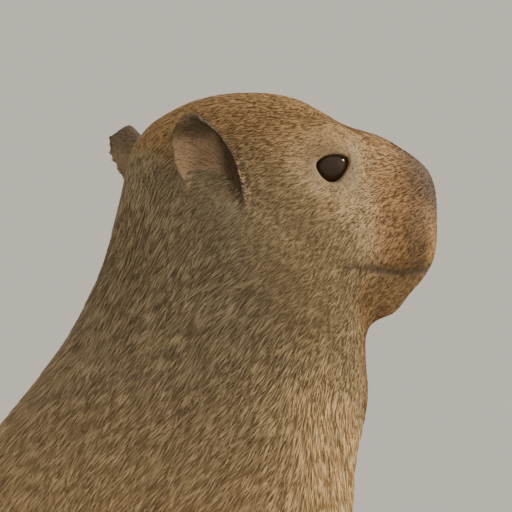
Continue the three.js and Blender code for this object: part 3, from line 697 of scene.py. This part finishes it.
def normals(mesh):
    n = np.empty(len(mesh.vertices) * 3)
    mesh.vertex_normals.foreach_get("vector", n)
    return n.reshape(-1, 3)


def edge_ends(mesh):
    edges = np.empty(len(mesh.edges) * 2, dtype=np.int64)
    mesh.edges.foreach_get("vertices", edges)
    return edges.reshape(-1, 2)


def flesh_names():
    return [n for n in nodes if not n.startswith(("eye", "claw"))]


def joined_flesh():
    """One mesh of all the flesh parts, each grown a little so that they overlap at their cuts."""
    joined = bmesh.new()
    for name in flesh_names():
        part = bmesh.new()
        part.from_mesh(nodes[name].data)
        bmesh.ops.remove_doubles(part, verts=part.verts, dist=SAME_POINT)
        grown = EAR_OVERLAP if name.startswith("ear") else PART_OVERLAP
        for v in part.verts:
            v.co += v.normal * grown * min(v.calc_shell_factor(), MOST_CORNER_GROWTH)
        scrap = bpy.data.meshes.new("scrap")
        part.to_mesh(scrap)
        part.free()
        joined.from_mesh(scrap)
        bpy.data.meshes.remove(scrap)
    mesh = bpy.data.meshes.new("skin")
    joined.to_mesh(mesh)
    joined.free()
    return link_object("skin", mesh)


def apply_modifier(o, kind, **settings):
    modifier = o.modifiers.new(kind.lower(), kind)
    for key, value in settings.items():
        setattr(modifier, key, value)
    depsgraph = bpy.context.evaluated_depsgraph_get()
    mesh = bpy.data.meshes.new_from_object(o.evaluated_get(depsgraph))
    old = o.data
    o.modifiers.clear()
    o.data = mesh
    mesh.name = o.name
    bpy.data.meshes.remove(old)


def neighbour_mean(edges, values, rounds, share):
    """Moves each value towards the mean of its neighbours, by its share in every round."""
    count = len(values)
    degree = np.bincount(edges.ravel(), minlength=count)[:, None]
    for _ in range(rounds):
        total = np.zeros_like(values)
        for axis in range(3):
            total[:, axis] = np.bincount(edges[:, 0], values[edges[:, 1], axis], minlength=count)
            total[:, axis] += np.bincount(edges[:, 1], values[edges[:, 0], axis], minlength=count)
        values = values + share * (total / degree - values)
    return values


def largest_shell(o):
    """Keeps only the biggest connected surface."""
    mesh = o.data
    edges = edge_ends(mesh)
    label = np.arange(len(mesh.vertices))
    while True:
        low = np.minimum(label[edges[:, 0]], label[edges[:, 1]])
        new = label.copy()
        np.minimum.at(new, edges[:, 0], low)
        np.minimum.at(new, edges[:, 1], low)
        new = new[new]
        if np.array_equal(new, label):
            break
        label = new
    ids, counts = np.unique(label, return_counts=True)
    keep = label == ids[np.argmax(counts)]
    if keep.all():
        return
    b = bmesh.new()
    b.from_mesh(mesh)
    b.verts.ensure_lookup_table()
    bmesh.ops.delete(b, geom=[b.verts[i] for i in np.nonzero(~keep)[0]], context="VERTS")
    b.to_mesh(mesh)
    b.free()


def coat_depth(r, fine):
    """How far the skin lies below the surface of the solids, to leave room for the hair."""
    thin = np.maximum(r["ear"], r["foot"])[:, None]
    ear = r["ear"][:, None]
    depth = BODY_COAT * (1 - fine) + HEAD_COAT * fine
    depth = depth * (1 - thin) + THIN_COAT * thin
    depth = depth * (1 - ear) + EAR_DEPTH * ear
    return depth * (1 - eye_share(r["hs"])[:, None])


def move_points(mesh, p):
    mesh.vertices.foreach_set("co", p.ravel())
    mesh.update()


def make_skin():
    """One closed skin over all the flesh, smoothed least where the face has its detail."""
    o = joined_flesh()
    apply_modifier(o, "REMESH", mode="VOXEL", voxel_size=SKIN_VOXEL)
    largest_shell(o)
    mesh = o.data
    edges = edge_ends(mesh)
    p = positions(mesh)
    r = regions(p)
    eye = eye_share(r["hs"])
    fine = np.maximum(r["head"], np.maximum(r["ear"], r["foot"]))[:, None]
    lips = lip_share(r["hs"], LIP_DETAIL_HALF)
    creases = np.maximum(lips, nostril_share(r["hs"], NOSTRIL_DETAIL_HALF)) * r["head"]
    very_fine = np.maximum(np.maximum(EAR_KEPT * r["ear"], eye), creases)[:, None]
    sharp = np.maximum(eye, creases)[:, None]
    p = neighbour_mean(edges, p, FIRST_ROUNDS, SMOOTHING * (1 - SHARP_KEPT * sharp))
    p = neighbour_mean(edges, p, FACE_ROUNDS, SMOOTHING * (1 - very_fine))
    p = neighbour_mean(edges, p, BODY_ROUNDS, SMOOTHING * (1 - fine) * (1 - very_fine))
    move_points(mesh, p)
    p = p - normals(mesh) * coat_depth(r, fine)
    p[:, 2] = np.maximum(p[:, 2], 0.0)
    move_points(mesh, p)
    mesh.shade_smooth()
    return o


def store_colours(mesh, colours):
    attribute = mesh.color_attributes.new("markings", "FLOAT_COLOR", "POINT")
    data = np.ones((len(mesh.vertices), 4), dtype=np.float32)
    data[:, :3] = colours
    attribute.data.foreach_set("color", data.ravel())


def unwrap(o):
    o.data.uv_layers.new(name="OFBake")
    bpy.ops.object.select_all(action="DESELECT")
    o.select_set(True)
    bpy.context.view_layer.objects.active = o
    bpy.ops.object.mode_set(mode="EDIT")
    bpy.ops.mesh.select_all(action="SELECT")
    bpy.ops.uv.smart_project(angle_limit=UNWRAP_ANGLE, island_margin=UNWRAP_MARGIN)
    bpy.ops.object.mode_set(mode="OBJECT")


skin = make_skin()
skin_mesh = skin.data
skin_points = positions(skin_mesh)
skin_normals = normals(skin_mesh)
store_colours(skin_mesh, coat_colour(skin_points, skin_normals))
unwrap(skin)
skin_material = marked_material("skin", roughness=0.62, specular=0.3, bump_scale=1400, bump_depth=0.0006)
skin_mesh.materials.append(skin_material)
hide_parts(*flesh_names())
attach(skin, "root")


# Coat


def skin_triangles():
    """The corners of the skin's triangles, and their places on the bake map."""
    skin_mesh.calc_loop_triangles()
    count = len(skin_mesh.loop_triangles)
    corners = np.empty(count * 3, dtype=np.int64)
    skin_mesh.loop_triangles.foreach_get("vertices", corners)
    loops = np.empty(count * 3, dtype=np.int64)
    skin_mesh.loop_triangles.foreach_get("loops", loops)
    uv = np.empty(len(skin_mesh.loops) * 2)
    skin_mesh.uv_layers["OFBake"].data.foreach_get("uv", uv)
    return corners.reshape(-1, 3), uv.reshape(-1, 2)[loops.reshape(-1, 3)]


skin_corners, skin_corner_uv = skin_triangles()
skin_tree = BVHTree.FromPolygons(
    [tuple(v) for v in skin_points],
    [tuple(int(i) for i in c) for c in skin_corners],
)


def on_skin(points):
    """The nearest place on the skin to each point, and the way the skin faces there."""
    found = np.empty((len(points), 3))
    facing = np.empty((len(points), 3))
    for i, q in enumerate(points):
        place, normal, _, _ = skin_tree.find_nearest(q)
        found[i] = place
        facing[i] = normal
    return found, facing


def root_places():
    """Random roots over the skin, closer together where the hair is short."""
    a, b, c = (skin_points[skin_corners[:, i]] for i in range(3))
    area = np.linalg.norm(np.cross(b - a, c - a), axis=1) / 2
    middle = (a + b + c) / 3
    expected = area / (hair_size(middle)[:, 3] * SQUARE_MILLIMETRE)
    expected *= 1 - bare_share(middle)
    count = rng.poisson(expected)
    which = np.repeat(np.arange(len(skin_corners)), count)
    u = rng.random(len(which))
    v = rng.random(len(which))
    flip = u + v > 1
    u[flip] = 1 - u[flip]
    v[flip] = 1 - v[flip]
    weights = np.stack([1 - u - v, u, v], axis=1)
    place = np.einsum("ij,ijk->ik", weights, skin_points[skin_corners[which]])
    normal = unit(np.einsum("ij,ijk->ik", weights, skin_normals[skin_corners[which]]))
    uv = np.einsum("ij,ijk->ik", weights, skin_corner_uv[which])
    return place, normal, uv


def make_coat():
    """Tufts over the whole skin, in pieces small enough for the limit, long and short ones apart."""
    place, normal, uv = root_places()
    size = hair_size(place)
    count = len(place)
    length = size[:, 0] * rng.uniform(*LENGTH_RANGE, count)
    width = size[:, 1] * rng.uniform(*WIDTH_RANGE, count)
    lift = size[:, 2] * rng.uniform(*LIFT_RANGE, count)
    way = lie(place, normal)
    sway = rng.normal(0, SWAY, count)[:, None]
    way = unit(way + np.cross(normal, way) * sway)
    across = np.cross(normal, way)
    tone = (1 + rng.normal(0, TONE_SPREAD, count))[:, None]
    colour = coat_colour(place, normal) * tone
    reach = (0.5 * length)[:, None]
    middle, middle_normal = on_skin(place + way * reach)
    tip, tip_normal = on_skin(middle + unit(middle - place) * reach)
    middle = middle + middle_normal * (MIDDLE_LIFT * lift + MIDDLE_CLEARANCE)[:, None]
    tip = tip + tip_normal * lift[:, None]
    root = place - normal * ROOT_DEPTH
    aside = across * (width / 2)[:, None]
    root_top = normal * (width * ROOT_THICKNESS)[:, None]
    middle_top = middle_normal * (width * MIDDLE_THICKNESS)[:, None]
    root_ring = [root + aside, root - aside, root + root_top]
    middle_ring = [middle + aside * MIDDLE_WIDTH, middle - aside * MIDDLE_WIDTH, middle + middle_top]
    tufts = np.stack([*root_ring, *middle_ring, tip], axis=1)
    tufts[:, :, 2] += np.maximum(FLOOR_CLEARANCE - tufts[:, :, 2].min(axis=1), 0)[:, None]
    long = length > LONG_HAIR
    behind_head = in_head(place)[:, 0] < NECK_BEHIND
    order = np.lexsort((np.round(place[:, 1], 2), np.round(-place[:, 2], 1), behind_head))
    bent = ("coat", long, BENT_CORNERS, BENT_FACES)
    straight = ("short_coat", ~long, STRAIGHT_CORNERS, STRAIGHT_FACES)
    for label, chosen, used, faces in (bent, straight):
        members = order[chosen[order]]
        most = TRIANGLES_PER_PIECE // len(faces)
        for number, start in enumerate(range(0, len(members), most)):
            part = members[start : start + most]
            coat_piece(f"{label}_{number + 1}", tufts[part], used, faces, colour[part], uv[part])


def coat_piece(name, tufts, used, faces, colour, uv):
    """One mesh of closed tufts, of which only the used corners are taken."""
    vertices = tufts[:, used].reshape(-1, 3)
    first_corners = np.arange(len(tufts)) * len(used)
    all_faces = (faces[None] + first_corners[:, None, None]).reshape(-1, 3)
    mesh = bpy.data.meshes.new(name)
    mesh.vertices.add(len(vertices))
    mesh.vertices.foreach_set("co", vertices.ravel())
    mesh.loops.add(len(all_faces) * 3)
    mesh.loops.foreach_set("vertex_index", all_faces.ravel().astype(np.int32))
    mesh.polygons.add(len(all_faces))
    mesh.polygons.foreach_set("loop_start", np.arange(0, len(all_faces) * 3, 3, dtype=np.int32))
    mesh.update(calc_edges=True)
    mesh.shade_smooth()
    # Painted shade at the tufts' roots and painted light at their tips
    shaded = colour[:, None, :] * TUFT_PAINTED_LIGHT_AND_SHADE[used][None, :, None]
    store_colours(mesh, np.clip(shaded.reshape(-1, 3), 0, 1))
    layer = mesh.uv_layers.new(name="OFBake")
    patch = (uv[:, None, :] + TUFT_SPREAD[used][None] * PATCH / 2).reshape(-1, 2)
    layer.data.foreach_set("uv", patch[all_faces.ravel()].ravel())
    o = link_object(name, mesh)
    mesh.materials.append(coat_material)
    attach(o, "root")


coat_material = marked_material("coat", roughness=0.66, specular=0.18, bump_scale=2600, bump_depth=0.0002)
make_coat()


# Eyes


def ball(radius, around, rows):
    """The points and faces of a ball with its poles above and below."""
    vertices = [(0, 0, radius)]
    for row in range(1, rows):
        down = math.pi * row / rows
        ring = radius * math.sin(down)
        for step in range(around):
            turn = 2 * math.pi * step / around
            vertices.append((ring * math.cos(turn), ring * math.sin(turn), radius * math.cos(down)))
    vertices.append((0, 0, -radius))
    faces = []
    last = len(vertices) - 1
    for step in range(around):
        after = (step + 1) % around
        faces.append((0, 1 + step, 1 + after))
        faces.append((last, last - around + after, last - around + step))
        for row in range(rows - 2):
            first = 1 + row * around
            faces.append((first + step, first + around + step, first + around + after, first + after))
    return vertices, faces


def make_eye(side, name):
    o = new_object("eyeball_" + name, *ball(EYE_RADIUS, EYE_AROUND, EYE_ROWS))
    facing = Euler((0, 0, side * EYE_FACING)).to_matrix().to_4x4()
    o.data.transform(at_eye(side) @ facing)
    o.data.materials.append(eye_material(name))
    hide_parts("eye_" + name)
    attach(o, "root")


def closed_curve(points, steps):
    """Points evenly spaced by parameter along a smooth closed curve through the given ones."""
    points = np.array(points)
    count = len(points)
    out = []
    for i in range(count):
        a, b, c, d = (points[(i + k) % count] for k in (-1, 0, 1, 2))
        square = 2 * a - 5 * b + 4 * c - d
        cube = 3 * b - a - 3 * c + d
        for step in range(steps):
            t = step / steps
            out.append(0.5 * (2 * b + (c - a) * t + square * t**2 + cube * t**3))
    return np.array(out)


def make_lids(side, name):
    """A soft rim round the slit, thicker above, lying on the eyeball."""
    outline = closed_curve(SLIT, SLIT_STEPS)
    away = np.sqrt(LID_RADIUS**2 - np.sum(outline**2, axis=1))
    path = np.stack([outline[:, 0], side * away, outline[:, 1]], axis=1)
    count = len(path)
    ahead = unit(np.roll(path, -1, axis=0) - np.roll(path, 1, axis=0))
    out = unit(path)
    beside = unit(np.cross(ahead, out))
    thick = LID_THIN + LID_MORE_ABOVE * smooth(*LID_UPPER_FADE, outline[:, 1])
    vertices = []
    faces = []
    for i in range(count):
        after = (i + 1) % count
        for step in range(LID_SIDES):
            a = 2 * math.pi * step / LID_SIDES
            offset = LID_FLATTENED * math.cos(a) * beside[i] + math.sin(a) * out[i]
            vertices.append(path[i] + thick[i] * offset)
            k = (step + 1) % LID_SIDES
            here = i * LID_SIDES
            there = after * LID_SIDES
            faces.append((here + step, here + k, there + k, there + step))
    o = new_object("eyelids_" + name, vertices, faces)
    o.data.transform(at_eye(side))
    fix_facing(o)
    o.data.materials.append(lid_material)
    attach(o, "root")


def fix_facing(o):
    """Turns the faces of a mesh to look outward."""
    b = bmesh.new()
    b.from_mesh(o.data)
    bmesh.ops.recalc_face_normals(b, faces=b.faces)
    b.to_mesh(o.data)
    b.free()


lid_material = plain_material(
    "eyelid", LID_BROWN, roughness=0.55, specular=0.25, bump_scale=1500, bump_depth=0.0003
)
for side, side_name in SIDES:
    make_eye(side, side_name)
    make_lids(side, side_name)


# Whiskers and claws


def make_whiskers():
    """Short stiff whiskers in rows on both sides of the muzzle, in one mesh."""
    vertices = []
    faces = []
    from_nose, from_middle, from_crown = WHISKER_FROM
    way_back, way_out, way_down = WHISKER_WAY
    for side, _ in SIDES:
        for row in range(WHISKER_ROWS):
            for place in range(WHISKERS_IN_ROW):
                x = from_nose - WHISKER_STEP_BACK * place
                z = from_crown - WHISKER_STEP_DOWN * row
                root = np.array([x, from_middle, z]) + rng.normal(0, WHISKER_ROOT_SCATTER, 3)
                starts, facings = on_skin([HEAD @ Vector((root[0], side * root[1], root[2]))])
                lean = Vector((way_back, side * way_out, way_down - WHISKER_ROW_DROOP * row))
                back = np.array(HEAD.to_3x3() @ lean)
                scatter = rng.normal(0, WHISKER_WAY_SCATTER, 3)
                way = unit(facings[0] * WHISKER_OFF_SKIN + back + scatter)
                length = rng.uniform(*WHISKER_LENGTH)
                add_whisker(vertices, faces, starts[0], way, back, length)
    o = new_object("whiskers", vertices, faces)
    fix_facing(o)
    o.data.materials.append(whisker_material)
    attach(o, "root")


def add_whisker(vertices, faces, start, way, back, length):
    """A thin tapering rod that bends back towards its tip."""
    first = len(vertices)
    across = unit(np.cross(way, np.array([0, 0, 1.0])))
    up = np.cross(across, way)
    bend = unit(back) * length * WHISKER_BEND
    for joint in range(WHISKER_JOINTS):
        t = joint / WHISKER_JOINTS
        middle = start + way * length * (t - WHISKER_SUNK) + bend * t * t
        radius = WHISKER_RADIUS * (1 - t) + WHISKER_TIP_RADIUS
        for step in range(WHISKER_SIDES):
            a = 2 * math.pi * step / WHISKER_SIDES
            vertices.append(middle + radius * (math.cos(a) * across + math.sin(a) * up))
    vertices.append(start + way * length * (1 - WHISKER_SUNK) + bend)
    tip = len(vertices) - 1
    faces.append([first + step for step in range(WHISKER_SIDES)])
    for joint in range(WHISKER_JOINTS - 1):
        for step in range(WHISKER_SIDES):
            a = first + joint * WHISKER_SIDES + step
            b = first + joint * WHISKER_SIDES + (step + 1) % WHISKER_SIDES
            faces.append([a, b, b + WHISKER_SIDES, a + WHISKER_SIDES])
    last_ring = first + (WHISKER_JOINTS - 1) * WHISKER_SIDES
    for step in range(WHISKER_SIDES):
        faces.append([last_ring + step, last_ring + (step + 1) % WHISKER_SIDES, tip])


whisker_material = plain_material(
    "whisker", WHISKER_BROWN, roughness=0.45, specular=0.4, bump_scale=900, bump_depth=0.0001
)
make_whiskers()

claw_material = plain_material(
    "claw", CLAW_BROWN, roughness=0.42, specular=0.4, bump_scale=600, bump_depth=0.0004
)
for name, node in nodes.items():
    if name.startswith("claw"):
        node.data.materials.clear()
        node.data.materials.append(claw_material)
        node.data.shade_smooth()


# Floor, light and camera


def make_floor():
    half = FLOOR_HALF
    corners = [(-half, -half, 0), (half, -half, 0), (half, half, 0), (-half, half, 0)]
    floor = new_object("floor", corners, [(0, 1, 2, 3)], smooth_shade=False)
    floor.location.z = FLOOR_HEIGHT
    grain = {"bump_scale": 90, "bump_depth": 0.0002, "spread": (0.97, 1.03)}
    floor.data.materials.append(plain_material("floor", FLOOR_GREY, roughness=0.9, specular=0.1, **grain))


def make_light(name, energy, colour, angles, spread, shines=True):
    """A distant lamp; one that doesn't shine gives no highlights."""
    lamp = bpy.data.lights.new(name, "SUN")
    lamp.energy = energy
    lamp.color = colour
    lamp.angle = math.radians(spread)
    o = link_object(name, lamp)
    o.rotation_euler = [math.radians(a) for a in angles]
    o.visible_glossy = shines


def make_world():
    world = bpy.data.worlds.new("studio")
    world.use_nodes = True
    background = world.node_tree.nodes["Background"]
    background.inputs["Color"].default_value = (0.94, 0.93, 0.90, 1)
    background.inputs["Strength"].default_value = 0.85
    bpy.context.scene.world = world


def make_camera():
    camera = bpy.data.cameras.new("camera")
    camera.lens = CAMERA_LENS
    camera.sensor_width = CAMERA_SENSOR
    camera.clip_end = CAMERA_SEES_TO
    o = link_object("camera", camera)
    flat = math.cos(CAMERA_DOWN)
    look = Vector((math.sin(CAMERA_YAW) * flat, math.cos(CAMERA_YAW) * flat, -math.sin(CAMERA_DOWN)))
    o.location = CAMERA_TARGET - look * CAMERA_DISTANCE
    o.rotation_euler = look.to_track_quat("-Z", "Y").to_euler()
    bpy.context.scene.camera = o


make_floor()
make_light("sun", energy=3.2, colour=(1.0, 0.88, 0.70), angles=(68, 0, 84), spread=12)
make_light("fill", energy=0.9, colour=(1.0, 0.97, 0.92), angles=(58, 0, 12), spread=60, shines=False)
make_world()
make_camera()
